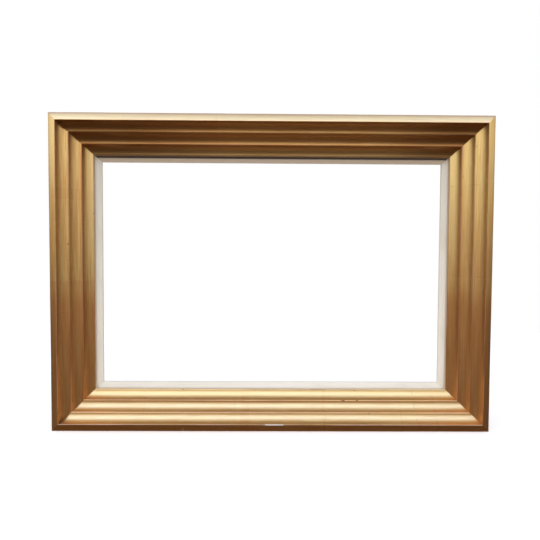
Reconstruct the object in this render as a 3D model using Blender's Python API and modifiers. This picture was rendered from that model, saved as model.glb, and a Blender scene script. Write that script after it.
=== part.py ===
"""A gilded picture frame with a painted liner, empty, with its hardware on the back.

Metres, +Z up. The face looks along -Y and the width runs along X. The origin is the centre of the
flat outer side of the bottom rail, on which the frame stands.

Sizes across a moulding are insets, measured inwards from its outer side, and heights, measured
from its back plane towards the face.
"""

import math

import bmesh
import bpy
from mathutils import Matrix, Vector

# The opening that shows the picture, inside the liner
SIGHT_WIDTH = 0.400
SIGHT_HEIGHT = 0.260

# Gilded moulding
SIDE_HEIGHT = 0.0497
RIDGE_INSET = 0.0097
RIDGE_HEIGHT = 0.0550
# The inset and height of each cove's inner lip
COVE_LIPS = ((0.0205, 0.0459), (0.0321, 0.0380), (0.0425, 0.0296))
COVE_TURNS = (math.radians(84), math.radians(80), math.radians(74))
OUTER_BEVEL_TURN = math.radians(-24)
OUTER_BEVEL_STEPS = 4
ARC_STEPS = 10
SIGHT_LIP_THICKNESS = 0.0043
RABBET_WIDTH = 0.0065  # how far the sight lip overhangs the rabbet wall

# Painted liner
LINER_REVEAL = 0.0060  # what shows of it inside the gilded sight lip
LINER_SLOPE_START = 0.0015  # flat front hidden under the sight lip, from the lip's edge outwards
LINER_DROP = 0.0047
LINER_LIP_THICKNESS = 0.0030
CANVAS_LAP = 0.0050  # how far the liner's lip covers the canvas
CANVAS_PLAY = 0.0015  # play round the canvas in its rebate
LINER_BACK_HEIGHT = 0.0025

# Gaps between pieces
FIT = 0.0003

# How far a cutter runs out past the back
CUT_PAST = 0.0200

# Edges that turn more than this stay sharp
SMOOTH_ANGLE = math.radians(40)

# V-nails across the mitres
NAIL_SPREAD = math.radians(45)
FRAME_NAIL_INSETS = {"outer": 0.010, "inner": 0.023}
FRAME_NAIL_LEG = 0.0050
FRAME_NAIL_THICKNESS = 0.0008
FRAME_NAIL_HEIGHT = 0.0100
LINER_NAIL_INSET = 0.0022  # from the liner's outer side
LINER_NAIL_LEG = 0.0026
LINER_NAIL_THICKNESS = 0.0005
LINER_NAIL_HEIGHT = 0.0070

# Framer's points that hold the liner in the rabbet
POINT_FROM_CORNER = 0.110
POINT_BITE = 0.0060
POINT_REACH = 0.0050
POINT_HALF_WIDTH = 0.0025
POINT_THICKNESS = 0.0008

# Wood screws
SCREW_SHANK_RADIUS = 0.0015
SCREW_HEAD_RADIUS = 0.0031
SCREW_HEAD_HEIGHT = 0.0017
SCREW_LENGTH = 0.0130
SCREW_TIP = 0.0035
SCREW_SLOT_WIDTH = 0.0007
SCREW_SLOT_DEPTH = 0.0008
SCREW_SIDES = 16
SCREW_DOME_STEPS = 5
SCREW_SLOT_CUT_LENGTH = 0.0120

# Turn buttons that hold the canvas
BUTTON_INSET = 0.0270
BUTTON_REACH = 0.0200
BUTTON_RADIUS = 0.0060
BUTTON_TIP_RADIUS = 0.0045
BUTTON_THICKNESS = 0.0012
BUTTON_FROM_CORNER = 0.155

# Strap hangers with D-rings
HANGER_INSET = 0.0150
HANGER_FROM_TOP = 0.0750
STRAP_WIDTH = 0.0120
STRAP_THICKNESS = 0.0009
STRAP_LENGTH = 0.0400
STRAP_RISE = math.radians(20)
KNUCKLE_END = math.radians(212)
KNUCKLE_STEPS = 18
HANGER_SCREWS = {"upper": 0.0225, "lower": 0.0340}  # below the ring's axis
RING_WIRE = 0.00125
RING_AXIS_HEIGHT = 0.0036
RING_HALF_WIDTH = 0.0085
RING_CORNER = 0.0025
RING_SIDE = 0.0070  # below the axis, where the round end starts
RING_CORNER_STEPS = 4
RING_END_STEPS = 8
RING_BEVEL_STEPS = 2

# Wall bumpers
BUMPER_RADIUS = 0.0062
BUMPER_FACE_RADIUS = 0.0052
BUMPER_THICKNESS = 0.0062
BUMPER_INSET = 0.0160
BUMPER_FROM_CORNER = 0.050
BUMPER_SIDES = 24

MOULDING_WIDTH = COVE_LIPS[-1][0]
FACE_WIDTH = MOULDING_WIDTH + LINER_REVEAL
WIDTH = SIGHT_WIDTH + 2 * FACE_WIDTH
HEIGHT = SIGHT_HEIGHT + 2 * FACE_WIDTH
BACK_Y = SIDE_HEIGHT / 2
RABBET_INSET = MOULDING_WIDTH - RABBET_WIDTH
RABBET_HEIGHT = COVE_LIPS[-1][1] - SIGHT_LIP_THICKNESS
LINER_INSET = RABBET_INSET + FIT
LINER_FRONT_HEIGHT = RABBET_HEIGHT - FIT
LINER_EDGE_HEIGHT = LINER_FRONT_HEIGHT - LINER_DROP
REBATE_INSET = FACE_WIDTH - CANVAS_LAP - CANVAS_PLAY
REBATE_HEIGHT = LINER_EDGE_HEIGHT - LINER_LIP_THICKNESS

# The turn about Y that takes the bottom side to each side, as seen from the front
SIDE_TURNS = {"bottom": 0, "left": math.pi / 2, "top": math.pi, "right": -math.pi / 2}
RAIL_NAMES = {"bottom": "bottom_rail", "left": "left_stile", "top": "top_rail", "right": "right_stile"}
CORNERS = {"top_left": (-1, 1), "top_right": (1, 1), "bottom_left": (-1, -1), "bottom_right": (1, -1)}


def clear_scene():
    for item in list(bpy.data.objects):
        bpy.data.objects.remove(item, do_unlink=True)


def new_collection(name):
    collection = bpy.data.collections.new(name)
    bpy.context.scene.collection.children.link(collection)
    return collection


def new_material(name, color, roughness, metallic=0.0):
    material = bpy.data.materials.new(name)
    material.use_nodes = True
    shader = material.node_tree.nodes["Principled BSDF"]
    shader.inputs["Base Color"].default_value = (*color, 1)
    shader.inputs["Roughness"].default_value = roughness
    shader.inputs["Metallic"].default_value = metallic
    return material


def place(mesh, name, collection, frame, material=None):
    """A new object of this mesh, whose own frame is the matrix given."""
    item = bpy.data.objects.new(name, mesh)
    collection.objects.link(item)
    item.matrix_world = frame
    if material and not mesh.materials:
        mesh.materials.append(material)
    return item


def baked_mesh(item):
    """The evaluated mesh of an object at the origin, welded and facing out; the object is removed."""
    bpy.context.view_layer.update()
    graph = bpy.context.evaluated_depsgraph_get()
    mesh = bpy.data.meshes.new_from_object(item.evaluated_get(graph))
    work = bmesh.new()
    work.from_mesh(mesh)
    bmesh.ops.remove_doubles(work, verts=work.verts, dist=1e-6)
    bmesh.ops.recalc_face_normals(work, faces=work.faces)
    work.to_mesh(mesh)
    work.free()
    bpy.data.objects.remove(item, do_unlink=True)
    return mesh


def curve_object(name, rows, cyclic=True):
    """A curve object, not yet in a collection, with one POLY spline for each row of points."""
    curve = bpy.data.curves.new(name, "CURVE")
    for row in rows:
        spline = curve.splines.new("POLY")
        spline.points.add(len(row) - 1)
        for point, co in zip(spline.points, row):
            point.co = (*co, *(0,) * (3 - len(co)), 1)
        spline.use_cyclic_u = cyclic
    return bpy.data.objects.new(name, curve)


def prism(name, outlines, low, high):
    """A mesh with these outlines in XY, an inner one being a hole, between two heights along Z."""
    item = curve_object(name, outlines)
    item.data.dimensions = "2D"
    item.data.fill_mode = "BOTH"
    item.data.extrude = (high - low) / 2
    bpy.context.scene.collection.objects.link(item)
    mesh = baked_mesh(item)
    mesh.transform(Matrix.Translation((0, 0, (low + high) / 2)))
    return mesh


def arc(start, end, turn, steps=ARC_STEPS):
    """Points after start, up to end, on the arc that turns by this angle, positive to the left."""
    start, end = Vector(start), Vector(end)
    chord = end - start
    left = Vector((-chord.y, chord.x))
    centre = (start + end) / 2 + left / (2 * math.tan(turn / 2))
    arms = (Matrix.Rotation(turn * i / steps, 2) @ (start - centre) for i in range(1, steps + 1))
    return [tuple(centre + arm) for arm in arms]


def circle(radius, sides):
    turns = [2 * math.pi * i / sides for i in range(sides)]
    return [(radius * math.cos(t), radius * math.sin(t)) for t in turns]


def cylinder(name, radius, low, high, sides=SCREW_SIDES, top_radius=None):
    """A mesh standing on Z between two heights, tapered if it has a top radius."""
    mesh = bpy.data.meshes.new(name)
    work = bmesh.new()
    middle = Matrix.Translation((0, 0, (low + high) / 2))
    top = radius if top_radius is None else top_radius
    bmesh.ops.create_cone(
        work, cap_ends=True, segments=sides, radius1=radius, radius2=top, depth=high - low, matrix=middle
    )
    work.to_mesh(mesh)
    work.free()
    return mesh


def shade_round(mesh):
    mesh.shade_smooth()
    mesh.set_sharp_from_angle(angle=SMOOTH_ANGLE)
    return mesh


def side_frame(side):
    """X is inwards from the outer side, Y towards the face from the back plane, Z along the side."""
    reach = HEIGHT / 2 if side in ("bottom", "top") else WIDTH / 2
    bottom = Matrix(((0, 0, 1, 0), (0, -1, 0, 0), (1, 0, 0, -reach), (0, 0, 0, 1)))
    centre = Matrix.Translation((0, BACK_Y, HEIGHT / 2))
    return centre @ Matrix.Rotation(SIDE_TURNS[side], 4, "Y") @ bottom


def on_back(side, inset, along):
    """A point of the back plane: X is inwards, Y along the side, Z away from the back."""
    return side_frame(side) @ Matrix.Translation((inset, 0, along)) @ Matrix.Rotation(math.pi / 2, 4, "X")


def at_corner(corner, inset):
    """A point of a mitre in the back plane: X is inwards along the mitre, Z away from the back."""
    across, up = CORNERS[corner]
    inwards = Vector((-across, 0, -up)).normalized()
    away = Vector((0, 1, 0))
    frame = Matrix((inwards, away.cross(inwards), away)).transposed().to_4x4()
    frame.translation = (
        across * (WIDTH / 2 - inset),
        BACK_Y,
        HEIGHT / 2 + up * (HEIGHT / 2 - inset),
    )
    return frame


def side_length(side):
    return WIDTH if side in ("bottom", "top") else HEIGHT


def along_from_corner(side, distance, end):
    """The place along a side at this distance from the corner at its low (-1) or high (1) end."""
    return end * (side_length(side) / 2 - distance)


def end_names(side):
    """The word for each end of a long side, or of a stile."""
    near = {"bottom": ("left", "right"), "top": ("right", "left"), "left": ("upper", "lower")}
    return dict(zip((-1, 1), near.get(side, ("lower", "upper"))))


# Mouldings


def moulding_outline():
    sight = COVE_LIPS[-1][0]
    points = [(0, 0), (0, SIDE_HEIGHT)]
    ridge = (RIDGE_INSET, RIDGE_HEIGHT)
    points += arc(points[-1], ridge, OUTER_BEVEL_TURN, OUTER_BEVEL_STEPS)
    for lip, turn in zip(COVE_LIPS, COVE_TURNS):
        points += arc(points[-1], lip, turn)
    return points + [(sight, RABBET_HEIGHT), (RABBET_INSET, RABBET_HEIGHT), (RABBET_INSET, 0)]


def liner_outline():
    return [
        (LINER_INSET, LINER_BACK_HEIGHT),
        (LINER_INSET, LINER_FRONT_HEIGHT),
        (MOULDING_WIDTH - LINER_SLOPE_START, LINER_FRONT_HEIGHT),
        (FACE_WIDTH, LINER_EDGE_HEIGHT),
        (FACE_WIDTH, REBATE_HEIGHT),
        (REBATE_INSET, REBATE_HEIGHT),
        (REBATE_INSET, LINER_BACK_HEIGHT),
    ]


def mitred(name, outline, side):
    """A prism of the outline along a side, each end cut at 45 degrees, half the gap short of the mitre."""
    half = side_length(side) / 2 - FIT / math.sqrt(2)
    mesh = prism(name, [outline], -half, half)
    for vertex in mesh.vertices:
        vertex.co.z -= math.copysign(vertex.co.x, vertex.co.z)
    return shade_round(mesh)


def add_cutters(item, cutters):
    cut = item.modifiers.new("joinery", "BOOLEAN")
    cut.operation = "DIFFERENCE"
    cut.operand_type = "COLLECTION"
    cut.collection = cutters


def make_mouldings(parts, frame_cutters, liner_cutters, gilding, paint):
    for side, rail_name in RAIL_NAMES.items():
        rail = mitred(rail_name, moulding_outline(), side)
        add_cutters(place(rail, rail_name, parts, side_frame(side), gilding), frame_cutters)
        liner_name = "liner_" + side
        liner = mitred(liner_name, liner_outline(), side)
        add_cutters(place(liner, liner_name, parts, side_frame(side), paint), liner_cutters)


# Joinery


def v_outline(leg, thickness):
    """A V that opens along X, its two legs the same angle from X, each of this length."""
    along = Vector((math.cos(NAIL_SPREAD), math.sin(NAIL_SPREAD)))
    inside = Vector((along.y, -along.x)) * thickness / 2
    apex = Vector((thickness / 2 / math.sin(NAIL_SPREAD), 0))
    half = [along * leg - inside, along * leg + inside]
    mirrored = [Vector((point.x, -point.y)) for point in reversed(half)]
    return [tuple(point) for point in [-apex, *half, apex, *mirrored]]


def add_nails(name, insets, leg, thickness, height, head, parts, cutters, steel):
    """V-nails at these insets across every mitre, their heads this far inside the back plane."""
    nail = prism(name, [v_outline(leg, thickness)], -head - height, -head)
    wide = v_outline(leg + FIT, thickness + 2 * FIT)
    slot = prism(name + "_slot", [wide], -head - height - FIT, CUT_PAST)
    for corner in CORNERS:
        for key, inset in insets.items():
            full = "_".join(filter(None, (name, corner, key)))
            place(nail, full, parts, at_corner(corner, inset), steel)
            place(slot, full + "_slot", cutters, at_corner(corner, inset))


def point_outline(clearance):
    tip = RABBET_INSET - POINT_BITE - clearance * math.sqrt(2)
    shoulder = RABBET_INSET - POINT_BITE + POINT_HALF_WIDTH
    half = POINT_HALF_WIDTH + clearance
    tail = RABBET_INSET + POINT_REACH + clearance
    return [(tip, 0), (shoulder, -half), (tail, -half), (tail, half), (shoulder, half)]


def add_points(parts, cutters, steel):
    """Flat points in the rabbet wall, close over the back of the liner."""
    inner = -LINER_BACK_HEIGHT + FIT
    outer = inner + POINT_THICKNESS
    point = prism("liner_point", [point_outline(0)], inner, outer)
    slot = prism("liner_point_slot", [point_outline(FIT)], inner - FIT, outer + FIT)
    for side in SIDE_TURNS:
        for end, word in end_names(side).items():
            name = f"liner_point_{side}_{word}"
            frame = on_back(side, 0, along_from_corner(side, POINT_FROM_CORNER, end))
            place(point, name, parts, frame, steel)
            place(slot, name + "_slot", cutters, frame)


# Hardware


def screw_mesh(name, seat):
    """A slotted, round-headed wood screw on Z whose head sits on a plate with its face at this height."""
    base = seat + FIT
    top = base + SCREW_HEAD_HEIGHT
    dome = [
        (SCREW_HEAD_RADIUS * math.sin(t), base + SCREW_HEAD_HEIGHT * math.cos(t))
        for t in (math.pi / 2 * i / SCREW_DOME_STEPS for i in range(SCREW_DOME_STEPS + 1))
    ]
    foot = base - SCREW_LENGTH
    shank = [(SCREW_SHANK_RADIUS, base), (SCREW_SHANK_RADIUS, foot + SCREW_TIP), (0, foot)]
    profile = [(radius, 0, height) for radius, height in dome + shank]
    mesh = bpy.data.meshes.new(name)
    mesh.from_pydata(profile, [(i, i + 1) for i in range(len(profile) - 1)], [])
    item = place(mesh, name, bpy.context.scene.collection, Matrix())
    turned = item.modifiers.new("turned", "SCREW")
    turned.steps = turned.render_steps = SCREW_SIDES
    turned.use_merge_vertices = True
    turned.merge_threshold = 1e-6
    slot = bpy.data.meshes.new(name + "_slot")
    work = bmesh.new()
    size = (SCREW_SLOT_CUT_LENGTH, SCREW_SLOT_WIDTH, 2 * SCREW_SLOT_DEPTH)
    bmesh.ops.create_cube(work, size=1, matrix=Matrix.Translation((0, 0, top)) @ Matrix.Diagonal((*size, 1)))
    work.to_mesh(slot)
    work.free()
    cutter = place(slot, name + "_slot", bpy.context.scene.collection, Matrix())
    cut = item.modifiers.new("slot", "BOOLEAN")
    cut.object = cutter
    baked = baked_mesh(item)
    bpy.data.objects.remove(cutter, do_unlink=True)
    return shade_round(baked)


def screw_hole(name, seat):
    foot = seat + FIT - SCREW_LENGTH
    return cylinder(name, SCREW_SHANK_RADIUS + FIT, foot - FIT, CUT_PAST)


def button_outline():
    """A tapered plate with round ends: the large end round the screw, the small end over the canvas."""
    tip = BUTTON_REACH - BUTTON_TIP_RADIUS
    lean = math.asin((BUTTON_RADIUS - BUTTON_TIP_RADIUS) / tip)
    start = math.pi / 2 - lean

    def ends(radius, centre, turn):
        return (centre + radius * math.cos(turn), radius * math.sin(turn))

    points = [ends(BUTTON_TIP_RADIUS, tip, -start)]
    points += arc(points[-1], ends(BUTTON_TIP_RADIUS, tip, start), 2 * start)
    points.append(ends(BUTTON_RADIUS, 0, start))
    points += arc(points[-1], ends(BUTTON_RADIUS, 0, -start), 2 * (math.pi - start), 2 * ARC_STEPS)
    return points


def add_buttons(parts, cutters, steel):
    """Turn buttons, turned clear of the canvas rebate: down on the stiles, to the middle on the rails."""
    places = [("left", "left", 0, 1), ("right", "right", 0, -1)]
    for side in ("top", "bottom"):
        for end, word in end_names(side).items():
            places.append((f"{side}_{word}", side, along_from_corner(side, BUTTON_FROM_CORNER, end), -end))
    top = FIT + BUTTON_THICKNESS
    hole = circle(SCREW_SHANK_RADIUS + FIT, SCREW_SIDES)
    button = shade_round(prism("turn_button", [button_outline(), hole], FIT, top))
    screw = screw_mesh("turn_button_screw", top)
    bore = screw_hole("turn_button_bore", top)
    for word, side, along, towards in places:
        frame = on_back(side, BUTTON_INSET, along) @ Matrix.Rotation(towards * math.pi / 2, 4, "Z")
        place(button, "turn_button_" + word, parts, frame, steel)
        place(screw, "turn_button_screw_" + word, parts, frame, steel)
        place(bore, "turn_button_bore_" + word, cutters, frame)


def strap_path():
    """The middle of the strap's thickness: X is up from the ring's axis, Y away from the back."""
    radius = RING_WIRE + FIT + STRAP_THICKNESS / 2
    flat = FIT + STRAP_THICKNESS / 2
    start = STRAP_RISE - math.pi / 2
    turns = [start + (KNUCKLE_END - start) * i / KNUCKLE_STEPS for i in range(KNUCKLE_STEPS + 1)]
    knuckle = [(radius * math.cos(t), RING_AXIS_HEIGHT + radius * math.sin(t)) for t in turns]
    bend = knuckle[0][0] - (knuckle[0][1] - flat) / math.tan(STRAP_RISE)
    return [(-STRAP_LENGTH, flat), (bend, flat), *knuckle]


def strap_mesh():
    """A strip curled into a knuckle at its upper end, with a hole for each screw. Z is across it."""
    scene = bpy.context.scene.collection
    ribbon = curve_object("strap_ribbon", [strap_path()], cyclic=False)
    ribbon.data.dimensions = "2D"
    ribbon.data.fill_mode = "NONE"
    ribbon.data.extrude = STRAP_WIDTH / 2
    scene.objects.link(ribbon)
    item = place(baked_mesh(ribbon), "strap", scene, Matrix())
    thick = item.modifiers.new("thickness", "SOLIDIFY")
    thick.thickness = STRAP_THICKNESS
    thick.offset = 0
    thick.use_even_offset = True
    holes = []
    for word, drop in HANGER_SCREWS.items():
        across = Matrix.Translation((-drop, 0, 0)) @ Matrix.Rotation(-math.pi / 2, 4, "X")
        bore = cylinder("strap_hole_" + word, SCREW_SHANK_RADIUS + FIT, -CUT_PAST, CUT_PAST)
        holes.append(place(bore, "strap_hole_" + word, scene, across))
        cut = item.modifiers.new("hole_" + word, "BOOLEAN")
        cut.object = holes[-1]
    mesh = baked_mesh(item)
    for hole in holes:
        bpy.data.objects.remove(hole, do_unlink=True)
    return shade_round(mesh)


def ring_points():
    """The D-ring's wire in the strap's frame, its straight side on the axis: X is up, Z across."""
    top = RING_HALF_WIDTH - RING_CORNER
    half = [(top, 0)]
    half += arc(half[-1], (RING_HALF_WIDTH, -RING_CORNER), -math.pi / 2, RING_CORNER_STEPS)
    half.append((RING_HALF_WIDTH, -RING_SIDE))
    half += arc(half[-1], (0, -RING_SIDE - RING_HALF_WIDTH), -math.pi / 2, RING_END_STEPS)
    other = [(-across, up) for across, up in reversed(half[:-1])]
    return [(up, 0, across) for across, up in half + other]


def add_hangers(parts, cutters, steel):
    strap = strap_mesh()
    seat = FIT + STRAP_THICKNESS
    screw = screw_mesh("hanger_screw", seat)
    bore = screw_hole("hanger_bore", seat)
    axes = Matrix(((0, 0, -1, 0), (0, 1, 0, 0), (1, 0, 0, 0), (0, 0, 0, 1)))
    for word, across in (("left", -1), ("right", 1)):
        name = "hanger_" + word
        spot = (across * (WIDTH / 2 - HANGER_INSET), BACK_Y, HEIGHT - HANGER_FROM_TOP)
        frame = Matrix.Translation(spot) @ axes
        place(strap, name + "_strap", parts, frame, steel)
        for level, drop in HANGER_SCREWS.items():
            seated = frame @ Matrix.Translation((-drop, 0, 0)) @ Matrix.Rotation(-math.pi / 2, 4, "X")
            place(screw, f"{name}_screw_{level}", parts, seated, steel)
            place(bore, f"{name}_bore_{level}", cutters, seated)
        ring = curve_object(name + "_ring", [ring_points()])
        ring.data.dimensions = "3D"
        ring.data.bevel_depth = RING_WIRE
        ring.data.bevel_resolution = RING_BEVEL_STEPS
        ring.data.materials.append(steel)
        parts.objects.link(ring)
        ring.matrix_world = frame @ Matrix.Translation((0, RING_AXIS_HEIGHT, 0))


def add_bumpers(parts, rubber):
    top = FIT + BUMPER_THICKNESS
    pad = cylinder("wall_bumper", BUMPER_RADIUS, FIT, top, BUMPER_SIDES, BUMPER_FACE_RADIUS)
    for end, word in end_names("bottom").items():
        frame = on_back("bottom", BUMPER_INSET, along_from_corner("bottom", BUMPER_FROM_CORNER, end))
        place(shade_round(pad), "wall_bumper_" + word, parts, frame, rubber)


def hide_cutters(*collections):
    for collection in collections:
        for item in collection.objects:
            item.hide_render = True
            item.display_type = "WIRE"


def build():
    clear_scene()
    parts = new_collection("picture_frame")
    frame_cutters = new_collection("frame_cutters")
    liner_cutters = new_collection("liner_cutters")
    gilding = new_material("gilding", (0.62, 0.42, 0.19), 0.38, 0.8)
    paint = new_material("liner_paint", (0.74, 0.68, 0.58), 0.65)
    steel = new_material("plated_steel", (0.62, 0.60, 0.56), 0.35, 1.0)
    rubber = new_material("bumper_rubber", (0.03, 0.03, 0.03), 0.7)

    add_nails(
        "v_nail",
        FRAME_NAIL_INSETS,
        FRAME_NAIL_LEG,
        FRAME_NAIL_THICKNESS,
        FRAME_NAIL_HEIGHT,
        FIT,
        parts,
        frame_cutters,
        steel,
    )
    add_nails(
        "liner_v_nail",
        {"": LINER_INSET + LINER_NAIL_INSET},
        LINER_NAIL_LEG,
        LINER_NAIL_THICKNESS,
        LINER_NAIL_HEIGHT,
        LINER_BACK_HEIGHT + FIT,
        parts,
        liner_cutters,
        steel,
    )
    add_points(parts, frame_cutters, steel)
    add_buttons(parts, frame_cutters, steel)
    add_hangers(parts, frame_cutters, steel)
    add_bumpers(parts, rubber)
    make_mouldings(parts, frame_cutters, liner_cutters, gilding, paint)
    hide_cutters(frame_cutters, liner_cutters)


build()
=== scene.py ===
"""The looks of a gilded picture frame with a painted liner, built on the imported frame.

Metres, +Z up, the face towards -Y. Sizes across a moulding are insets, measured inwards from the
outer side, and heights, measured from the back plane towards the face.
"""

import math

import bmesh
import bpy
from mathutils import Matrix, Vector, noise


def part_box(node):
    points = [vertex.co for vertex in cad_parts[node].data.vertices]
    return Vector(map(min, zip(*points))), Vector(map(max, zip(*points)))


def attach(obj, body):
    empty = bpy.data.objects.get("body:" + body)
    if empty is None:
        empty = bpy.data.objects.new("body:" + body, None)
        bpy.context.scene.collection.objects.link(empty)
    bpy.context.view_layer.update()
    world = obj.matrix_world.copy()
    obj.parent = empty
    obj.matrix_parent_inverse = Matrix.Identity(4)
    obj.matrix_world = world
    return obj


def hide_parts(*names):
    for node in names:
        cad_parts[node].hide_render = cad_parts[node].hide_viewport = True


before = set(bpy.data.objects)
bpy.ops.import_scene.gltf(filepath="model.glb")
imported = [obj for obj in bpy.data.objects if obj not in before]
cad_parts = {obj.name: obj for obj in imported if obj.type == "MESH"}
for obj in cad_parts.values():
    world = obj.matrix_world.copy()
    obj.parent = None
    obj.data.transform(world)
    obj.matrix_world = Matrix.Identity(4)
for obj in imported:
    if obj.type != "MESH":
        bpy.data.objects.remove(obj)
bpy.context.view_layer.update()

# Overall sizes
WIDTH = 2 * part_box("right_stile")[1].x
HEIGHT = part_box("top_rail")[1].z
BACK_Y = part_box("bottom_rail")[1].y

# Section of the gilded moulding
SIDE_HEIGHT = 0.0497
RIDGE = (0.0097, 0.0550)
LIPS = ((0.0205, 0.0459), (0.0321, 0.0380), (0.0425, 0.0296))
BEVEL_TURN = math.radians(-24)
BEVEL_STEPS = 6
COVE_TURNS = (math.radians(84), math.radians(80), math.radians(74))
COVE_STEPS = 18
SIGHT_INSET = LIPS[-1][0]
RABBET_INSET = 0.0360
RABBET_HEIGHT = 0.0253

# Section of the liner
LINER_SIDE = 0.0363
LINER_FRONT = 0.0250
LINER_SLOPE_INSET = 0.0410
LINER_SIGHT = 0.0485
LINER_EDGE = 0.0203
LINER_BACK = 0.0025
REBATE = (0.0420, 0.0173)

# How meshes are made
STATION = 0.005  # between the rings of a swept moulding
MITRE_GAP = 0.00004
SLOT_PLAY = 0.00015
PAST_BACK = 0.002  # how far a slot's cutter runs out of the back
WAVE_FADE = 0.012  # from a mitre, over which the unevenness grows
LONG_WAVE = (0.045, 0.00012)  # length, depth
SHORT_WAVE = (0.009, 0.00003)
LIP_ROUND = 0.0010
SMOOTH_ANGLE = math.radians(32)

SIDE_TURNS = {"bottom": 0, "left": math.pi / 2, "top": math.pi, "right": -math.pi / 2}
RAILS = {"bottom": "bottom_rail", "left": "left_stile", "top": "top_rail", "right": "right_stile"}


# Shapes


def new_object(name, data):
    """An object in the scene that shows this data."""
    item = bpy.data.objects.new(name, data)
    bpy.context.scene.collection.objects.link(item)
    return item


def arc(start, end, turn, steps):
    """Points after start, up to end, on the arc that turns by this angle, positive to the left."""
    start, end = Vector(start), Vector(end)
    chord = end - start
    left = Vector((-chord.y, chord.x))
    centre = (start + end) / 2 + left / (2 * math.tan(turn / 2))
    arms = (Matrix.Rotation(turn * i / steps, 2) @ (start - centre) for i in range(1, steps + 1))
    return [tuple(centre + arm) for arm in arms]


def walk(points, index, step, reach):
    """The point this far along the closed line from a corner, and the first point kept."""
    here = Vector(points[index])
    while True:
        index = (index + step) % len(points)
        there = Vector(points[index])
        length = (there - here).length
        if length > reach:
            return here.lerp(there, reach / length), index
        reach -= length
        here = there


def softened(points, tags, corners, steps=4):
    """The closed line with each listed corner rounded off, and the tag of each stretch."""
    cut = {}
    dropped = set()
    for corner, reach in corners.items():
        before, first = walk(points, corner, -1, reach)
        after, last = walk(points, corner, 1, reach)
        middle = Vector(points[corner])
        bend = []
        for i in range(steps + 1):
            t = i / steps
            bend.append(tuple(before * (1 - t) ** 2 + middle * 2 * t * (1 - t) + after * t * t))
        cut[corner] = bend
        index = (first + 1) % len(points)
        while index != last:
            dropped.add(index)
            index = (index + 1) % len(points)
    line, kinds = [], []
    for index, point in enumerate(points):
        if index in cut:
            line += cut[index]
            kinds += [tags[index]] * len(cut[index])
        elif index not in dropped:
            line.append(point)
            kinds.append(tags[index])
    return line, kinds


def side_frame(side):
    """From a side's own axes, X inwards, Y from the back to the face, Z along, to the world's."""
    reach = HEIGHT / 2 if side in ("bottom", "top") else WIDTH / 2
    bottom = Matrix(((0, 0, 1, 0), (0, -1, 0, 0), (1, 0, 0, -reach), (0, 0, 0, 1)))
    centre = Matrix.Translation((0, BACK_Y, HEIGHT / 2))
    return centre @ Matrix.Rotation(SIDE_TURNS[side], 4, "Y") @ bottom


def moulding_line():
    """The moulding's closed section, and the material of each stretch."""
    points = [(0, 0), (0, SIDE_HEIGHT)]
    tags = ["side", "face"]
    corners = {0: 0.0004, 1: 0.0007}
    points += arc(points[-1], RIDGE, BEVEL_TURN, BEVEL_STEPS)
    corners[len(points) - 1] = 0.0006
    for lip, turn in zip(LIPS, COVE_TURNS):
        points += arc(points[-1], lip, turn, COVE_STEPS)
        corners[len(points) - 1] = LIP_ROUND
    tags += ["face"] * (len(points) - len(tags))
    points += [(SIGHT_INSET, RABBET_HEIGHT), (RABBET_INSET, RABBET_HEIGHT), (RABBET_INSET, 0)]
    tags += ["wood"] * 3
    corners[len(points) - 3] = 0.0003
    corners[len(points) - 1] = 0.0004
    return softened(points, tags, corners)


def liner_line():
    """The liner's closed section, and the material of each stretch."""
    points = [
        (LINER_SIDE, LINER_BACK),
        (LINER_SIDE, LINER_FRONT),
        (LINER_SLOPE_INSET, LINER_FRONT),
        (LINER_SIGHT, LINER_EDGE),
        (LINER_SIGHT, REBATE[1]),
        REBATE,
        (REBATE[0], LINER_BACK),
    ]
    tags = ["wood", "face", "face", "face", "wood", "wood", "wood"]
    corners = {0: 0.0003, 1: 0.0004, 2: 0.0012, 3: 0.0007, 4: 0.0003, 6: 0.0003}
    return softened(points, tags, corners)


def uneven(along, end_distance, point, seed):
    """How far a hand-finished surface stands in or out here."""
    total = 0
    for length, depth in (LONG_WAVE, SHORT_WAVE):
        where = Vector((along / length + seed, point[0] / length * 2, point[1] / length * 2))
        total += depth * noise.noise(where)
    return total * min(1, end_distance / WAVE_FADE)


def swept(name, line, kinds, materials, side, seed):
    """A moulding along one side, mitred at both ends, with a material for each kind of stretch."""
    reach = (WIDTH if side in ("bottom", "top") else HEIGHT) / 2 - MITRE_GAP
    count = round(2 * reach / STATION)
    order = list(materials)
    to_world = side_frame(side)
    work = bmesh.new()
    rings = []
    for station in range(count + 1):
        share = 2 * station / count - 1
        ring = []
        for index, point in enumerate(line):
            here = Vector(point)
            along = share * (reach - here.x)
            ends = reach - here.x - abs(along)
            if kinds[index] == kinds[index - 1] == "face":
                before, after = Vector(line[index - 1]), Vector(line[(index + 1) % len(line)])
                tangent = (after - before).normalized()
                here += Vector((-tangent.y, tangent.x)) * uneven(along, ends, point, seed)
                here = Vector((max(here.x, 0), min(here.y, RIDGE[1])))
            ring.append(work.verts.new(to_world @ Vector((here.x, here.y, along))))
        rings.append(ring)
    for ring, following in zip(rings, rings[1:]):
        for index in range(len(line)):
            after = (index + 1) % len(line)
            face = work.faces.new((ring[index], ring[after], following[after], following[index]))
            face.material_index = order.index(kinds[index])
    for ring in (rings[0], rings[-1]):
        face = work.faces.new(ring)
        face.material_index = order.index("wood")
    bmesh.ops.triangulate(work, faces=work.faces[-2:])
    bmesh.ops.recalc_face_normals(work, faces=work.faces)
    mesh = bpy.data.meshes.new(name)
    work.to_mesh(mesh)
    work.free()
    for material in materials.values():
        mesh.materials.append(material)
    return new_object(name, mesh)


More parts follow.
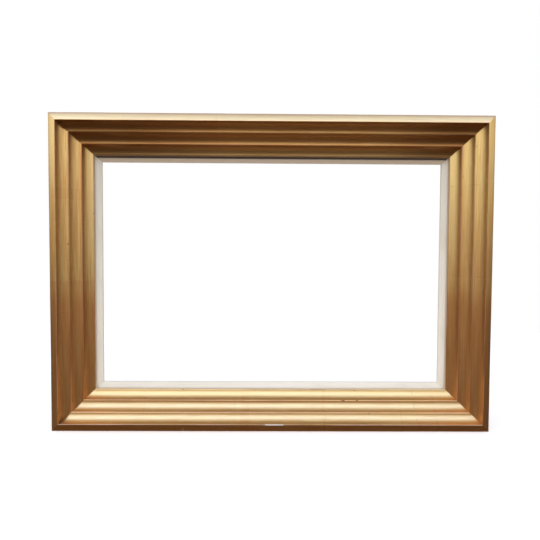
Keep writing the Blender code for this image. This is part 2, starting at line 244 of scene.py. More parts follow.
def cutter(name, nodes, open_back):
    """One mesh of copies of these CAD nodes, a little larger, and out through the back if asked."""
    whole = bmesh.new()
    for node in nodes:
        piece = bmesh.new()
        piece.from_mesh(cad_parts[node].data)
        bmesh.ops.remove_doubles(piece, verts=piece.verts, dist=1e-6)
        bmesh.ops.recalc_face_normals(piece, faces=piece.faces)
        piece.normal_update()
        backmost = max(vertex.co.y for vertex in piece.verts)
        grown = [vertex.co + vertex.normal * SLOT_PLAY * math.sqrt(3) for vertex in piece.verts]
        for vertex, place in zip(piece.verts, grown):
            if open_back and vertex.co.y > backmost - 1e-5:
                place.y = BACK_Y + PAST_BACK
            vertex.co = place
        part = bpy.data.meshes.new(name)
        piece.to_mesh(part)
        piece.free()
        whole.from_mesh(part)
        bpy.data.meshes.remove(part)
    mesh = bpy.data.meshes.new(name)
    whole.to_mesh(mesh)
    whole.free()
    return new_object(name, mesh)


def cut(item, tools):
    """Takes these tools' shapes out of the object's mesh."""
    for tool in tools:
        step = item.modifiers.new("slots", "BOOLEAN")
        step.operation = "DIFFERENCE"
        step.solver = "EXACT"
        step.object = tool
    bpy.context.view_layer.update()
    depsgraph = bpy.context.evaluated_depsgraph_get()
    mesh = bpy.data.meshes.new_from_object(item.evaluated_get(depsgraph))
    item.modifiers.clear()
    old = item.data
    item.data = mesh
    bpy.data.meshes.remove(old)


def shade(item):
    """Smooth faces, with a sharp edge wherever two of them meet at more than SMOOTH_ANGLE."""
    carried = item.data.attributes.get("custom_normal")
    if carried:
        item.data.attributes.remove(carried)
    work = bmesh.new()
    work.from_mesh(item.data)
    work.normal_update()
    for face in work.faces:
        face.smooth = True
    for edge in work.edges:
        edge.smooth = edge.calc_face_angle(math.pi) < SMOOTH_ANGLE
    work.to_mesh(item.data)
    work.free()


# Materials


class Graph:
    """Adds nodes to one tree. An input that is a socket is linked, and any other is set."""

    def __init__(self, tree):
        self.tree = tree

    def put(self, socket, value):
        """Links or sets one input."""
        if isinstance(value, bpy.types.NodeSocket):
            self.tree.links.new(value, socket)
        else:
            socket.default_value = value

    def add(self, kind, *inputs, named=(), **settings):
        """A shader node of this kind, with its inputs given in order or by name."""
        node = self.tree.nodes.new("ShaderNode" + kind)
        for key, value in settings.items():
            setattr(node, key, value)
        for socket, value in zip(node.inputs, inputs):
            self.put(socket, value)
        for key, value in dict(named).items():
            self.put(node.inputs[key], value)
        return node

    def math(self, operation, *inputs):
        return self.add("Math", *inputs, operation=operation).outputs[0]

    def sum(self, *values):
        total = values[0]
        for value in values[1:]:
            total = self.math("ADD", total, value)
        return total

    def product(self, *values):
        total = values[0]
        for value in values[1:]:
            total = self.math("MULTIPLY", total, value)
        return total

    def fade(self, value, start, end, low=0.0, high=1.0):
        """Smoothly from low, where the value is start, to high, where it is end."""
        inputs = (value, start, end, low, high)
        return self.add("MapRange", *inputs, interpolation_type="SMOOTHSTEP").outputs[0]

    def mix(self, share, first, second):
        """The first colour where the share is 0, and the second where it is 1."""
        node = self.add("Mix", data_type="RGBA")
        for index, value in ((0, share), (6, first), (7, second)):
            self.put(node.inputs[index], value)
        return node.outputs[2]

    def vector(self, x, y, z=0.0):
        return self.add("CombineXYZ", x, y, z).outputs[0]

    def noise(self, where, scale, detail=2.0, roughness=0.5):
        named = {"Scale": scale, "Detail": detail, "Roughness": roughness}
        return self.add("TexNoise", where, named=named).outputs[0]

    def bump(self, height, distance, strength=0.5):
        named = {"Strength": strength, "Distance": distance, "Height": height}
        return self.add("Bump", named=named).outputs[0]

    def facing_up(self):
        """1 where the surface looks up, 0 where it is upright and -1 where it looks down."""
        return self.add("SeparateXYZ", self.add("TexCoord").outputs["Normal"]).outputs[2]

    def ramp(self, value, stops):
        """Stops are a place from 0 to 1 and a colour, or one number for a grey."""
        node = self.add("ValToRGB", value)
        elements = node.color_ramp.elements
        while len(elements) < len(stops):
            elements.new(0.5)
        for element, (place, color) in zip(elements, stops):
            element.position = place
            element.color = color if isinstance(color, tuple) else (color, color, color, 1)
        return node.outputs[0]


def rgb(red, green, blue):
    return (red, green, blue, 1)


BOTTOM, LEFT, RIGHT, TOP = -2.0, -1.0, 1.0, 2.0
LOW_HEIGHT = 0.06  # above the foot, over which the wear of the bottom rail fades
SIDE_SHIFT = 17.3  # of the noises, from one side to the next


def new_material(name):
    """A material, the graph of its nodes, and its shader."""
    material = bpy.data.materials.new(name)
    material.use_nodes = True
    graph = Graph(material.node_tree)
    return material, graph, material.node_tree.nodes["Principled BSDF"]


def moulding_space(graph):
    """Where a point is on the mitred mouldings.

    Along runs up a stile and to the right on a rail. Side is BOTTOM, LEFT, RIGHT or TOP, stile is 1
    on the stiles, and low is 1 near the foot of the bottom rail.
    """
    where = graph.add("TexCoord").outputs["Object"]
    x, y, z = graph.add("SeparateXYZ", where).outputs
    from_side = graph.math("SUBTRACT", WIDTH / 2, graph.math("ABSOLUTE", x))
    above = graph.math("SUBTRACT", z, HEIGHT / 2)
    from_end = graph.math("SUBTRACT", HEIGHT / 2, graph.math("ABSOLUTE", above))
    inset = graph.math("MINIMUM", from_side, from_end)
    stile = graph.math("LESS_THAN", from_side, from_end)
    rail = graph.math("SUBTRACT", 1.0, stile)
    along = graph.sum(graph.product(stile, z), graph.product(rail, x))
    side = graph.sum(
        graph.product(stile, graph.math("SIGN", x), RIGHT),
        graph.product(rail, graph.math("SIGN", above), TOP),
    )
    height = graph.math("SUBTRACT", BACK_Y, y)
    low = graph.product(rail, graph.fade(z, LOW_HEIGHT, 0.0))
    return {
        "along": along,
        "inset": inset,
        "height": height,
        "side": side,
        "stile": stile,
        "low": low,
    }


def on_side(graph, space, side):
    """1 on this side of the frame, and 0 on the others."""
    return graph.add("Math", space["side"], side, 0.1, operation="COMPARE").outputs[0]


def lengthwise(graph, space, length, across, shift=0.0):
    """A place for a noise of scale 1 whose marks are this long and this far apart across."""
    apart = graph.product(space["side"], SIDE_SHIFT)
    along = graph.sum(graph.product(space["along"], 1 / length), apart, shift)
    return graph.vector(
        along, graph.product(space["inset"], 1 / across), graph.product(space["height"], 1 / across)
    )


def nearest_arris(graph, space, arrises):
    """The distance, in the section, to the nearest of these points."""
    section = graph.vector(space["inset"], space["height"])
    nearest = None
    for arris in arrises:
        gap = graph.add("VectorMath", section, (*arris, 0), operation="DISTANCE").outputs[1]
        nearest = gap if nearest is None else graph.math("MINIMUM", nearest, gap)
    return nearest


# Colours of the gilding
LEAF = rgb(0.76, 0.41, 0.11)
LEAF_PALE = rgb(0.97, 0.75, 0.35)
# painted highlight, for the right stile
HIGHLIGHT_LEAF = rgb(1.0, 0.81, 0.34)
RUBBED_LEAF = rgb(0.64, 0.25, 0.085)
# painted reflection, for the lips of the bottom rail
LIP_REFLECTION_LEAF = rgb(0.90, 0.50, 0.16)
SCUFFED_LEAF = rgb(0.70, 0.42, 0.27)
# painted shade, for the ends of the top rail
SHADE_LEAF = rgb(0.24, 0.105, 0.035)
# painted highlight with some dust, for faces that look up
DUST_AND_HIGHLIGHT_LEAF = rgb(0.93, 0.84, 0.59)
GLAZE = rgb(0.36, 0.165, 0.055)
BOLE = rgb(0.26, 0.080, 0.038)
CLAY = rgb(0.72, 0.50, 0.38)
WORN_ARRIS = rgb(0.52, 0.22, 0.13)
GESSO = rgb(0.80, 0.76, 0.72)
# the sight wall's paint, in painted shade and in painted light
WALL_PAINT_IN_SHADE = rgb(0.26, 0.14, 0.065)
WALL_PAINT_IN_LIGHT = rgb(0.72, 0.58, 0.42)

# Length and spacing of the gilding's marks, which all run lengthwise
BROAD_MARKS = (0.070, 0.0016)
FINE_MARKS = (0.022, 0.00042)
STREAKS = (0.048, 0.00075)
MOTTLE = (0.009, 0.004)

LEAF_PITCH = 0.104
LEAF_SHIFT = 0.031  # of the laps, from one side to the next
LAP_WIDTH = 0.0010
RAGGED = 0.004  # how far mottling moves the ends of marks
RAGGED_FADE = 0.0006
RUB_REACH = 0.0034  # from an arris
BELOW_LIP = LIPS[-1][1] - 0.0004

# Where a tone starts along a side, and where it is full
REDDER_STILES = (0.175, 0.140)
# painted reflection on the left bevel
LEFT_BEVEL_REFLECTION = (0.215, 0.330)
# painted highlight on the right stile
RIGHT_STILE_HIGHLIGHT = (0.160, 0.290)
DULL_INNER_COVE = (0.220, 0.150)
# painted shade at the top rail's ends
SHADED_TOP_ENDS = ((-0.040, -0.180), (0.110, 0.210))

# Single marks: the side, the middle along it, half the length and the strength
STAINS = (
    (BOTTOM, -0.030, 0.005, 0.24),
    (BOTTOM, 0.0600, 0.0010, 0.30),
    (BOTTOM, 0.1490, 0.0008, 0.28),
    (BOTTOM, 0.1890, 0.0010, 0.30),
    (LEFT, 0.2680, 0.0060, 0.14),
    (LEFT, 0.1620, 0.0080, 0.20),
)
WORN_PATCH = (BOTTOM, 0.0035, 0.0105, 0.85)
DARK_CHIP = (BOTTOM, 0.0995, 0.0011, 0.90)
PALE_CHIP = (BOTTOM, -0.0995, 0.0001, 0.90)


def patch(graph, space, wobble, side, middle, half, strength):
    """A stretch of one side, with a ragged start and end."""
    along = graph.sum(space["along"], wobble)
    away = graph.math("ABSOLUTE", graph.math("SUBTRACT", along, middle))
    inside = graph.fade(away, half + RAGGED_FADE, half - RAGGED_FADE)
    return graph.product(on_side(graph, space, side), inside, strength)


def gilding_marks(graph, space):
    """The noises that the layers of the gilding share."""
    marks = {
        "broad": graph.noise(lengthwise(graph, space, *BROAD_MARKS), 1.0, 3.0),
        "fine": graph.noise(lengthwise(graph, space, *FINE_MARKS), 1.0, 2.0),
        "streak": graph.noise(lengthwise(graph, space, *STREAKS, 5.0), 1.0, 3.0, 0.6),
        "mottle": graph.noise(lengthwise(graph, space, *MOTTLE), 1.0, 4.0, 0.6),
    }
    marks["wobble"] = graph.product(graph.sum(marks["mottle"], -0.5), RAGGED)
    return marks


def laid_leaf(graph, space, marks):
    """The streaked colour of the leaf, which varies from leaf to leaf, and where its laps are."""
    fine, streak = marks["fine"], marks["streak"]
    leaves = graph.sum(space["along"], graph.product(space["side"], LEAF_SHIFT), marks["wobble"])
    leaves = graph.math("DIVIDE", leaves, LEAF_PITCH)
    leaf = graph.math("FLOOR", leaves)
    tone = graph.add("TexWhiteNoise", graph.vector(leaf, space["side"])).outputs[0]
    from_lap = graph.product(graph.math("FRACT", leaves), LEAF_PITCH)
    lap = graph.fade(from_lap, LAP_WIDTH, 0.0002)
    lap = graph.product(lap, graph.fade(marks["mottle"], 0.45, 0.65))
    color = graph.mix(marks["broad"], LEAF, LEAF_PALE)
    color = graph.mix(graph.fade(fine, 0.38, 0.68, 0.0, 0.42), color, RUBBED_LEAF)
    color = graph.mix(graph.fade(streak, 0.50, 0.70, 0.0, 0.45), color, GLAZE)
    color = graph.mix(graph.fade(streak, 0.48, 0.30, 0.0, 0.50), color, LEAF_PALE)
    color = graph.mix(graph.product(tone, 0.20), color, RUBBED_LEAF)
    return color, lap


def toned(graph, space, marks, facing, color):
    """The leaf's colour with the tones of its place: stains, redder feet of the stiles, painted shade
    where it looks down and at the top rail's ends, painted highlights with some dust, a painted
    reflection and highlight on the stiles, and a paler inner cove.
    """
    fine, along, inset = marks["fine"], space["along"], space["inset"]
    ragged_along = graph.sum(along, marks["wobble"])
    # Redder, darker leaf towards the foot of the stiles, and the stains.
    stains_and_redder_stile_feet = graph.product(space["stile"], graph.fade(ragged_along, *REDDER_STILES), 0.50)
    for stain in STAINS:
        stains_and_redder_stile_feet = graph.math("MAXIMUM", stains_and_redder_stile_feet, patch(graph, space, marks["wobble"], *stain))
    color = graph.mix(stains_and_redder_stile_feet, color, RUBBED_LEAF)
    # Painted shade: redder, darker leaf where the surface looks down.
    color = graph.mix(graph.product(graph.fade(facing, -0.05, -0.35), 0.45), color, RUBBED_LEAF)

    # Painted highlight, with some dust: paler leaf on faces that look up.
    dusty = graph.product(graph.fade(facing, 0.04, 0.30), graph.fade(facing, 0.85, 0.55), 0.66)
    dusty = graph.product(dusty, graph.fade(fine, 0.25, 0.65, 1.0, 0.72))
    color = graph.mix(dusty, color, DUST_AND_HIGHLIGHT_LEAF)

    # Painted reflection: paler leaf on the upper part of the left stile's bevel.
    bevel = graph.fade(inset, RIDGE[0] + 0.0005, RIDGE[0] - 0.0010)
    pale = graph.product(on_side(graph, space, LEFT), bevel)
    pale = graph.product(pale, graph.fade(along, *LEFT_BEVEL_REFLECTION), 0.80)
    color = graph.mix(pale, color, LEAF_PALE)
    # Painted highlight: paler leaf on the upper part of the right stile.
    bright = graph.product(on_side(graph, space, RIGHT), graph.fade(along, *RIGHT_STILE_HIGHLIGHT))
    bright = graph.product(bright, 0.52, graph.fade(fine, 0.25, 0.65, 1.0, 0.6))
    color = graph.mix(bright, color, HIGHLIGHT_LEAF)

    inner_cove = graph.fade(inset, LIPS[1][0] + 0.001, LIPS[1][0] + 0.004)
    dull = graph.product(space["stile"], graph.fade(along, *DULL_INNER_COVE))
    inner_cove = graph.product(inner_cove, 0.45, graph.math("SUBTRACT", 1.0, dull))
    color = graph.mix(inner_cove, color, LEAF_PALE)

    # Painted shade: darker leaf in the top rail's coves towards both ends.
    ends = graph.sum(*(graph.fade(along, *end) for end in SHADED_TOP_ENDS))
    coves = graph.fade(inset, RIDGE[0], RIDGE[0] + 0.0005)
    painted_end_shade = graph.product(on_side(graph, space, TOP), ends, 0.65, coves)
    painted_end_shade = graph.product(painted_end_shade, graph.fade(marks["streak"], 0.25, 0.7, 0.8, 1.0))
    return graph.mix(painted_end_shade, color, SHADE_LEAF)


def cove_glaze(graph, space, mottle):
    """How much glaze lies in the coves: most at the foot of each wall."""
    stops = [(0.0, 0.0)]
    for wall in (RIDGE, *LIPS[:2]):
        start = wall[0] / SIGHT_INSET
        stops += [(start - 0.01, 0.0), (start + 0.02, 0.45), (start + 0.10, 0.0)]
    glaze = graph.ramp(graph.product(space["inset"], 1 / SIGHT_INSET), stops)
    return graph.product(glaze, graph.fade(mottle, 0.1, 0.7, 0.65, 1.0))


def gilding():
    """Toned gold leaf over red bole, with worn arrises, glazed coves, laps and rubbed streaks."""
    material, graph, shader = new_material("gilding")
    space = moulding_space(graph)
    marks = gilding_marks(graph, space)
    broad, fine, streak, mottle = (marks[key] for key in ("broad", "fine", "streak", "mottle"))
    facing = graph.facing_up()
    color, lap = laid_leaf(graph, space, marks)
    color = toned(graph, space, marks, facing, color)

    # Rubbed leaf near the arrises, and a painted reflection near the lips of the bottom rail
    from_outer = nearest_arris(graph, space, [(0, SIDE_HEIGHT)])
    from_ridge = nearest_arris(graph, space, [RIDGE])
    from_second_lip = nearest_arris(graph, space, [LIPS[1]])
    from_lips = nearest_arris(graph, space, LIPS)
    from_any = nearest_arris(graph, space, [(0, SIDE_HEIGHT), RIDGE, *LIPS])
    near = graph.fade(from_second_lip, RUB_REACH, 0.0004)
    color = graph.mix(graph.product(near, graph.fade(broad, 0.25, 0.60), 0.60), color, RUBBED_LEAF)
    # Painted reflection: warmer, lighter leaf near the lips of the bottom rail, with a little less
    # metal.
    painted_lip_reflection = graph.product(graph.fade(from_lips, RUB_REACH, 0.0008), space["low"], 0.85)
    color = graph.mix(painted_lip_reflection, color, LIP_REFLECTION_LEAF)
    scuffed = graph.fade(from_outer, RUB_REACH, 0.0014)
    scuffed = graph.product(scuffed, graph.fade(streak, 0.30, 0.60, 0.35, 0.75))
    scuffed = graph.product(scuffed, graph.math("MAXIMUM", on_side(graph, space, TOP), 0.25))
    color = graph.mix(scuffed, color, SCUFFED_LEAF)

    glaze = cove_glaze(graph, space, mottle)
    color = graph.mix(glaze, color, GLAZE)

    # Bole, where the leaf is gone
    reach = graph.fade(broad, 0.35, 0.75, 0.0001, 0.0009)
    bare = graph.fade(graph.math("SUBTRACT", reach, from_any), -0.0001, 0.0003)
    bare = graph.product(bare, graph.fade(fine, 0.30, 0.60), 0.75)
    chips = graph.fade(graph.sum(mottle, graph.fade(from_any, 0.004, 0.0, 0.0, 0.10)), 0.76, 0.79)
    dark_chip = patch(graph, space, marks["wobble"], *DARK_CHIP)
    dark_chip = graph.product(dark_chip, graph.fade(from_second_lip, 0.0012, 0.0006))
    exposed = graph.math("MAXIMUM", graph.math("MAXIMUM", bare, chips), graph.product(lap, 0.30))
    exposed = graph.math("MAXIMUM", exposed, dark_chip)
    color = graph.mix(exposed, color, BOLE)

    # The cores of the arrises, worn deeper
    core = graph.fade(from_any, 0.0007, 0.0003)
    core = graph.product(core, graph.fade(space["low"], 0.0, 1.0, 0.15, 0.95))
    core = graph.product(core, graph.fade(broad, 0.30, 0.50))
    color = graph.mix(core, color, CLAY)
    red = graph.product(graph.fade(from_any, 0.0008, 0.0003), space["stile"], 0.65)
    red = graph.product(red, graph.fade(streak, 0.30, 0.55, 0.3, 1.0))
    color = graph.mix(red, color, WORN_ARRIS)
    worn = patch(graph, space, marks["wobble"], *WORN_PATCH)
    worn = graph.product(worn, graph.fade(from_ridge, 0.0014, 0.0007))
    pale_chip = patch(graph, space, marks["wobble"], *PALE_CHIP)
    pale_chip = graph.product(pale_chip, graph.fade(from_outer, 0.0070, 0.0050))
    worn = graph.math("MAXIMUM", worn, pale_chip)
    color = graph.mix(worn, color, GESSO)

    # The sight wall, which is painted ochre, with painted shade where it looks down and painted light
    # where it looks up
    wall = graph.product(
        graph.fade(space["height"], BELOW_LIP, BELOW_LIP - 0.0006),
        graph.fade(space["inset"], SIGHT_INSET - 0.0010, SIGHT_INSET - 0.0006),
    )
    paint = graph.mix(graph.fade(facing, 0.2, -0.4), WALL_PAINT_IN_LIGHT, WALL_PAINT_IN_SHADE)
    graph.put(shader.inputs["Base Color"], graph.mix(wall, color, paint))

    bared = graph.math("MAXIMUM", graph.math("MAXIMUM", exposed, worn), graph.product(core, 0.7))
    cover = graph.math("SUBTRACT", 1.0, bared)
    for part in (graph.product(painted_lip_reflection, 0.25), graph.product(scuffed, 0.40), wall):
        cover = graph.math("SUBTRACT", cover, part)
    graph.put(shader.inputs["Metallic"], graph.product(graph.math("MAXIMUM", cover, 0.0), 0.96))
    rough = graph.sum(0.33, graph.product(broad, 0.10), graph.product(fine, 0.10))
    rough = graph.sum(rough, graph.product(glaze, 0.12), graph.product(exposed, 0.2))
    graph.put(shader.inputs["Roughness"], rough)
    relief = graph.sum(graph.product(fine, 0.5), graph.product(streak, 0.5))
    relief = graph.sum(relief, graph.product(exposed, -0.8))
    graph.put(shader.inputs["Normal"], graph.bump(relief, 0.00004, 0.6))
    return material


def side_wash():
    """Ochre wash on the outer sides, rubbed through to bole and wood near the back."""
    material, graph, shader = new_material("side_wash")
    space = moulding_space(graph)
    streak = graph.noise(lengthwise(graph, space, 0.030, 0.0022), 1.0, 4.0, 0.6)
    fine = graph.noise(lengthwise(graph, space, 0.010, 0.0006), 1.0, 2.0)
    color = graph.mix(graph.fade(streak, 0.25, 0.75), rgb(0.40, 0.21, 0.07), rgb(0.58, 0.36, 0.15))
    color = graph.mix(graph.fade(fine, 0.45, 0.80, 0.0, 0.5), color, rgb(0.24, 0.11, 0.04))
    low = graph.fade(graph.sum(space["height"], graph.product(streak, 0.006)), 0.0065, 0.0035)
    color = graph.mix(graph.product(low, 0.75), color, rgb(0.55, 0.38, 0.22))
    top = graph.fade(graph.sum(space["height"], graph.product(streak, -0.003)), 0.0455, 0.0480)
    color = graph.mix(graph.product(top, 0.6), color, BOLE)
    graph.put(shader.inputs["Base Color"], color)
    graph.put(shader.inputs["Roughness"], graph.fade(streak, 0.2, 0.8, 0.48, 0.66))
    shader.inputs["Metallic"].default_value = 0.15
    graph.put(shader.inputs["Normal"], graph.bump(graph.sum(streak, fine), 0.0002))
    return material


RING_SPACING = 0.0032


def bare_wood(name, pale, dark, seed):
    """Planed softwood, its grain along the moulding, with pores and a few darker growth lines."""
    material, graph, shader = new_material(name)
    space = moulding_space(graph)
    warp = graph.noise(lengthwise(graph, space, 0.120, 0.012, seed), 1.0, 2.0)
    grain = graph.noise(lengthwise(graph, space, 0.090, 0.0012, seed), 1.0, 4.0, 0.6)
    pores = graph.noise(lengthwise(graph, space, 0.006, 0.00025, seed), 1.0, 1.0)
    across = graph.sum(space["inset"], graph.product(space["height"], 0.6))
    across = graph.sum(across, graph.product(warp, 0.012))
    rings = graph.math("SINE", graph.product(across, 2 * math.pi / RING_SPACING))
    late = graph.fade(rings, 0.2, 1.0)
    color = graph.mix(graph.fade(grain, 0.25, 0.75), pale, dark)
    color = graph.mix(graph.product(late, 0.45), color, dark)
    color = graph.mix(graph.fade(pores, 0.62, 0.75, 0.0, 0.4), color, rgb(0.22, 0.12, 0.06))
    graph.put(shader.inputs["Base Color"], color)
    graph.put(shader.inputs["Roughness"], graph.fade(grain, 0.2, 0.8, 0.58, 0.75))
    relief = graph.sum(graph.product(late, 0.5), grain, graph.product(pores, -0.5))
    graph.put(shader.inputs["Normal"], graph.bump(relief, 0.00012))
    return material


def liner_paint():
    """Brushed off-white paint: faint lengthwise lines and clouding, with painted shade: browner where it
    looks down, darker by the sight edge, and a painted shadow under the top lip.
    """
    material, graph, shader = new_material("liner_paint")
    space = moulding_space(graph)
    brush = graph.noise(lengthwise(graph, space, 0.080, 0.0009), 1.0, 3.0)
    fine = graph.noise(lengthwise(graph, space, 0.030, 0.0003), 1.0, 2.0)
    cloud = graph.noise(lengthwise(graph, space, 0.050, 0.020), 1.0, 3.0)
    color = graph.mix(graph.fade(brush, 0.3, 0.7), rgb(0.94, 0.845, 0.69), rgb(0.97, 0.905, 0.79))
    color = graph.mix(graph.fade(fine, 0.5, 0.8, 0.0, 0.30), color, rgb(0.58, 0.49, 0.38))
    color = graph.mix(graph.fade(cloud, 0.45, 0.75, 0.0, 0.25), color, rgb(0.66, 0.57, 0.45))
    # Painted shade: a little darker next to the sight edge, under the gilded lip.
    painted_shade_under_lip = graph.fade(space["inset"], SIGHT_INSET + 0.0012, SIGHT_INSET)
    color = graph.mix(graph.product(painted_shade_under_lip, 0.15), color, rgb(0.36, 0.27, 0.18))
    # Painted shade: browner where the liner looks down.
    facing = graph.facing_up()
    painted_shade_looking_down = graph.fade(facing, -0.05, -0.40)
    color = graph.mix(graph.product(painted_shade_looking_down, 0.60), color, rgb(0.60, 0.42, 0.25))
    # Painted shadow: a near-black strip on the top liner, just under the gilded lip.
    painted_shadow_under_top_lip = graph.fade(space["inset"], SIGHT_INSET + 0.0026, SIGHT_INSET + 0.0012)
    painted_shadow_under_top_lip = graph.product(on_side(graph, space, TOP), painted_shadow_under_top_lip, 0.93)
    color = graph.mix(painted_shadow_under_top_lip, color, rgb(0.050, 0.032, 0.018))
    graph.put(shader.inputs["Base Color"], color)
    graph.put(shader.inputs["Roughness"], graph.fade(brush, 0.2, 0.8, 0.50, 0.62))
    relief = graph.sum(brush, graph.product(fine, 0.5))
    graph.put(shader.inputs["Normal"], graph.bump(relief, 0.00012))
    return material


def plated_metal(name, bright, dull, roughness, grain_axis=(1, 1, 1)):
    """Plated sheet or wire: soft clouding, fine scratches along one axis and dark specks."""
    material, graph, shader = new_material(name)
    where = graph.add("TexCoord").outputs["Object"]
    stretched = graph.add("VectorMath", where, grain_axis, operation="MULTIPLY").outputs[0]
    cloud = graph.noise(where, 260.0, 3.0)
    lines = graph.noise(stretched, 2600.0, 2.0)
    specks = graph.noise(where, 1900.0, 1.0)
    color = graph.mix(graph.fade(cloud, 0.35, 0.70), bright, dull)
    color = graph.mix(graph.fade(specks, 0.66, 0.74, 0.0, 0.5), color, rgb(0.16, 0.12, 0.09))
    graph.put(shader.inputs["Base Color"], color)
    shader.inputs["Metallic"].default_value = 1.0
    rough = graph.sum(roughness, graph.product(cloud, 0.14), graph.product(lines, 0.12))
    graph.put(shader.inputs["Roughness"], rough)
    relief = graph.sum(graph.product(lines, 0.35), graph.product(cloud, 0.3))
    graph.put(shader.inputs["Normal"], graph.bump(relief, 0.00004, 0.4))
    return material


def rubber():
    """Matt black rubber, gritty and a little dusty."""
    material, graph, shader = new_material("bumper_rubber")
    where = graph.add("TexCoord").outputs["Object"]
    grit = graph.noise(where, 1600.0, 3.0)
    dust = graph.noise(where, 220.0, 3.0)
    clean, dusty = rgb(0.030, 0.029, 0.028), rgb(0.085, 0.080, 0.072)
    color = graph.mix(graph.fade(dust, 0.35, 0.75), clean, dusty)
    graph.put(shader.inputs["Base Color"], color)
    graph.put(shader.inputs["Roughness"], graph.fade(grit, 0.3, 0.7, 0.60, 0.80))
    graph.put(shader.inputs["Normal"], graph.bump(grit, 0.0001))
    return material


def paint_nodes(prefixes, material):
    """Gives the CAD nodes whose names start so this one material."""
    for name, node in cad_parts.items():
        if name.startswith(prefixes):
            node.data.materials.clear()
            node.data.materials.append(material)


# The object

moulding_materials = {
    "face": gilding(),
    "side": side_wash(),
    "wood": bare_wood("moulding_wood", rgb(0.60, 0.42, 0.24), rgb(0.44, 0.27, 0.13), 0.0),
}
liner_materials = {
    "face": liner_paint(),
    "wood": bare_wood("liner_wood", rgb(0.66, 0.50, 0.32), rgb(0.52, 0.35, 0.19), 9.0),
}
names = list(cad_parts)
nail_slots = cutter("nail_slots", [n for n in names if n.startswith("v_nail_")], True)
liner_slots = cutter("liner_slots", [n for n in names if n.startswith("liner_v_nail_")], True)
point_slots = cutter("point_slots", [n for n in names if n.startswith("liner_point_")], False)

for number, (side, node) in enumerate(RAILS.items()):
    rail = swept("gilded_" + node, *moulding_line(), moulding_materials, side, 11.0 * number)
    cut(rail, (nail_slots, point_slots))
    shade(rail)
    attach(rail, "frame")
    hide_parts(node)
    seed = 11.0 * number + 5.0
    liner = swept("painted_liner_" + side, *liner_line(), liner_materials, side, seed)
    cut(liner, (liner_slots,))
    shade(liner)
    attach(liner, "frame")
    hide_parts("liner_" + side)

for tool in (nail_slots, liner_slots, point_slots):
    bpy.data.objects.remove(tool, do_unlink=True)

nail_metal = plated_metal("nail_steel", rgb(0.52, 0.50, 0.47), rgb(0.34, 0.32, 0.30), 0.34)
hardware_metal = plated_metal(
    "hardware_steel", rgb(0.70, 0.67, 0.60), rgb(0.54, 0.51, 0.45), 0.24, (1, 1, 0.08)
)
screw_metal = plated_metal("screw_steel", rgb(0.74, 0.68, 0.52), rgb(0.56, 0.50, 0.36), 0.22)
screws = ("turn_button_screw", "hanger_left_screw", "hanger_right_screw")
paint_nodes(("v_nail", "liner_v_nail", "liner_point"), nail_metal)
paint_nodes(("turn_button", "hanger_"), hardware_metal)
paint_nodes(screws, screw_metal)  # after the rest of the hardware, and over it
paint_nodes(("wall_bumper",), rubber())


# Studio


FLOOR_HALF = 1.2
FLOOR_FADE = (0.55, 1.1)
FLOOR_LIFT = 0.35  # of its own light, to the camera, so that it stays pale


def make_floor():
    """A pale floor that fades into the pale surroundings."""
    work = bmesh.new()
    bmesh.ops.create_grid(work, x_segments=24, y_segments=24, size=FLOOR_HALF)
    mesh = bpy.data.meshes.new("floor")
    work.to_mesh(mesh)
    work.free()
    floor = new_object("floor", mesh)
    material = bpy.data.materials.new("floor")
    material.use_nodes = True
    nodes = material.node_tree.nodes
    nodes.remove(nodes["Principled BSDF"])
    graph = Graph(material.node_tree)
    paper = graph.noise(graph.add("TexCoord").outputs["Object"], 40.0, 3.0)
    color = graph.mix(paper, rgb(0.93, 0.895, 0.86), rgb(0.95, 0.915, 0.88))
    matte = graph.add("BsdfDiffuse", color).outputs[0]
    rays = graph.add("LightPath").outputs
    seen = graph.math("MAXIMUM", rays["Is Camera Ray"], rays["Is Glossy Ray"])
    seen = graph.math("MAXIMUM", seen, rays["Is Transmission Ray"])
    lift = graph.add("Emission", rgb(1, 1, 1), graph.product(seen, FLOOR_LIFT)).outputs[0]
    lit = graph.add("AddShader", matte, lift).outputs[0]
    far = graph.add("VectorMath", graph.add("TexCoord").outputs["Object"], operation="LENGTH").outputs[1]
    clear = graph.add("BsdfTransparent").outputs[0]
    whole = graph.add("MixShader", graph.fade(far, *FLOOR_FADE), lit, clear).outputs[0]
    graph.put(nodes["Material Output"].inputs["Surface"], whole)
    mesh.materials.append(material)
    floor.visible_glossy = False


# The sky from straight down, 0, to straight up, 1
SKY = (
    (0.00, rgb(0.065, 0.038, 0.020)),
    (0.25, rgb(0.028, 0.016, 0.009)),
    (0.40, rgb(0.030, 0.017, 0.010)),
    (0.4825, rgb(0.100, 0.060, 0.036)),
    (0.56, rgb(0.35, 0.285, 0.205)),
    (0.605, rgb(0.66, 0.61, 0.50)),
    (0.675, rgb(0.82, 0.84, 0.84)),
    (0.78, rgb(0.82, 0.92, 1.10)),
    (0.90, rgb(0.64, 0.70, 0.82)),
    (1.00, rgb(0.36, 0.38, 0.42)),
)

# How bright it is from the left, 0, to the right, 1, and before, beside and behind the frame
SIDE_LEVELS = ((0.0, 0.80), (0.38, 1.0), (0.58, 0.92), (0.85, 0.70))
FRONT_LEVEL, ASIDE_LEVEL, BACK_LEVEL = 2.05, 0.42, 0.60


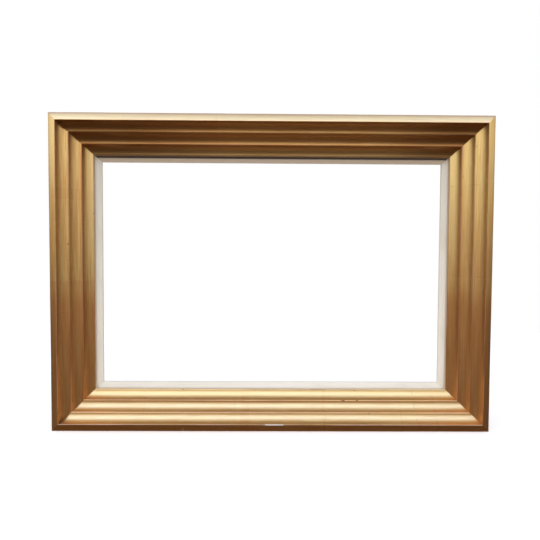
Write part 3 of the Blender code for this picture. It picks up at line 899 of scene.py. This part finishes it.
def make_world():
    """Soft daylight from above in front, a darker room below, and a white backdrop behind."""
    world = bpy.data.worlds.new("studio")
    bpy.context.scene.world = world
    world.use_nodes = True
    graph = Graph(world.node_tree)
    background = world.node_tree.nodes["Background"]
    way = graph.add("TexCoord").outputs["Generated"]
    x, y, z = graph.add("SeparateXYZ", way).outputs
    sky = graph.ramp(graph.math("MULTIPLY_ADD", z, 0.5, 0.5), SKY)
    from_front = graph.sum(y, graph.product(z, 0.3))
    level = graph.fade(from_front, 0.0, 0.6, FRONT_LEVEL, ASIDE_LEVEL)
    level = graph.sum(level, graph.fade(y, 0.25, 0.75, 0.0, BACK_LEVEL))
    sides = graph.ramp(graph.math("MULTIPLY_ADD", x, 0.5, 0.5), SIDE_LEVELS)
    lit = graph.add("VectorMath", sky, operation="SCALE")
    graph.put(lit.inputs["Scale"], graph.product(level, sides))
    rays = graph.add("LightPath").outputs
    mirrored = graph.math("MAXIMUM", rays["Is Glossy Ray"], rays["Is Transmission Ray"])
    behind = graph.product(graph.fade(y, 0.70, 0.90), graph.fade(z, -0.15, -0.03))
    seen = graph.math("MAXIMUM", rays["Is Camera Ray"], graph.product(mirrored, behind))
    graph.put(background.inputs["Color"], graph.mix(seen, lit.outputs[0], rgb(1, 1, 1)))


CAMERA_PLACE = (-0.0066, -0.52735, 0.2017)
CAMERA_PITCH, CAMERA_YAW, CAMERA_ROLL = 0.0359, 0.0088, -0.0050
CAMERA_LENS, CAMERA_SENSOR = 29.87, 36.0


def make_camera():
    """A camera that looks along +Y, turned a little by the three angles."""
    data = bpy.data.cameras.new("camera")
    data.sensor_width = CAMERA_SENSOR
    data.lens = CAMERA_LENS
    camera = new_object("camera", data)
    upright = Matrix(((1, 0, 0), (0, 0, -1), (0, 1, 0)))
    turn = Matrix.Rotation(CAMERA_ROLL, 3, "Z") @ Matrix.Rotation(CAMERA_YAW, 3, "Y")
    turn = turn @ Matrix.Rotation(CAMERA_PITCH, 3, "X")
    camera.matrix_world = Matrix.Translation(CAMERA_PLACE) @ (upright @ turn.transposed()).to_4x4()
    bpy.context.scene.camera = camera


make_floor()
make_world()
make_camera()
bpy.context.scene.view_settings.view_transform = "Standard"
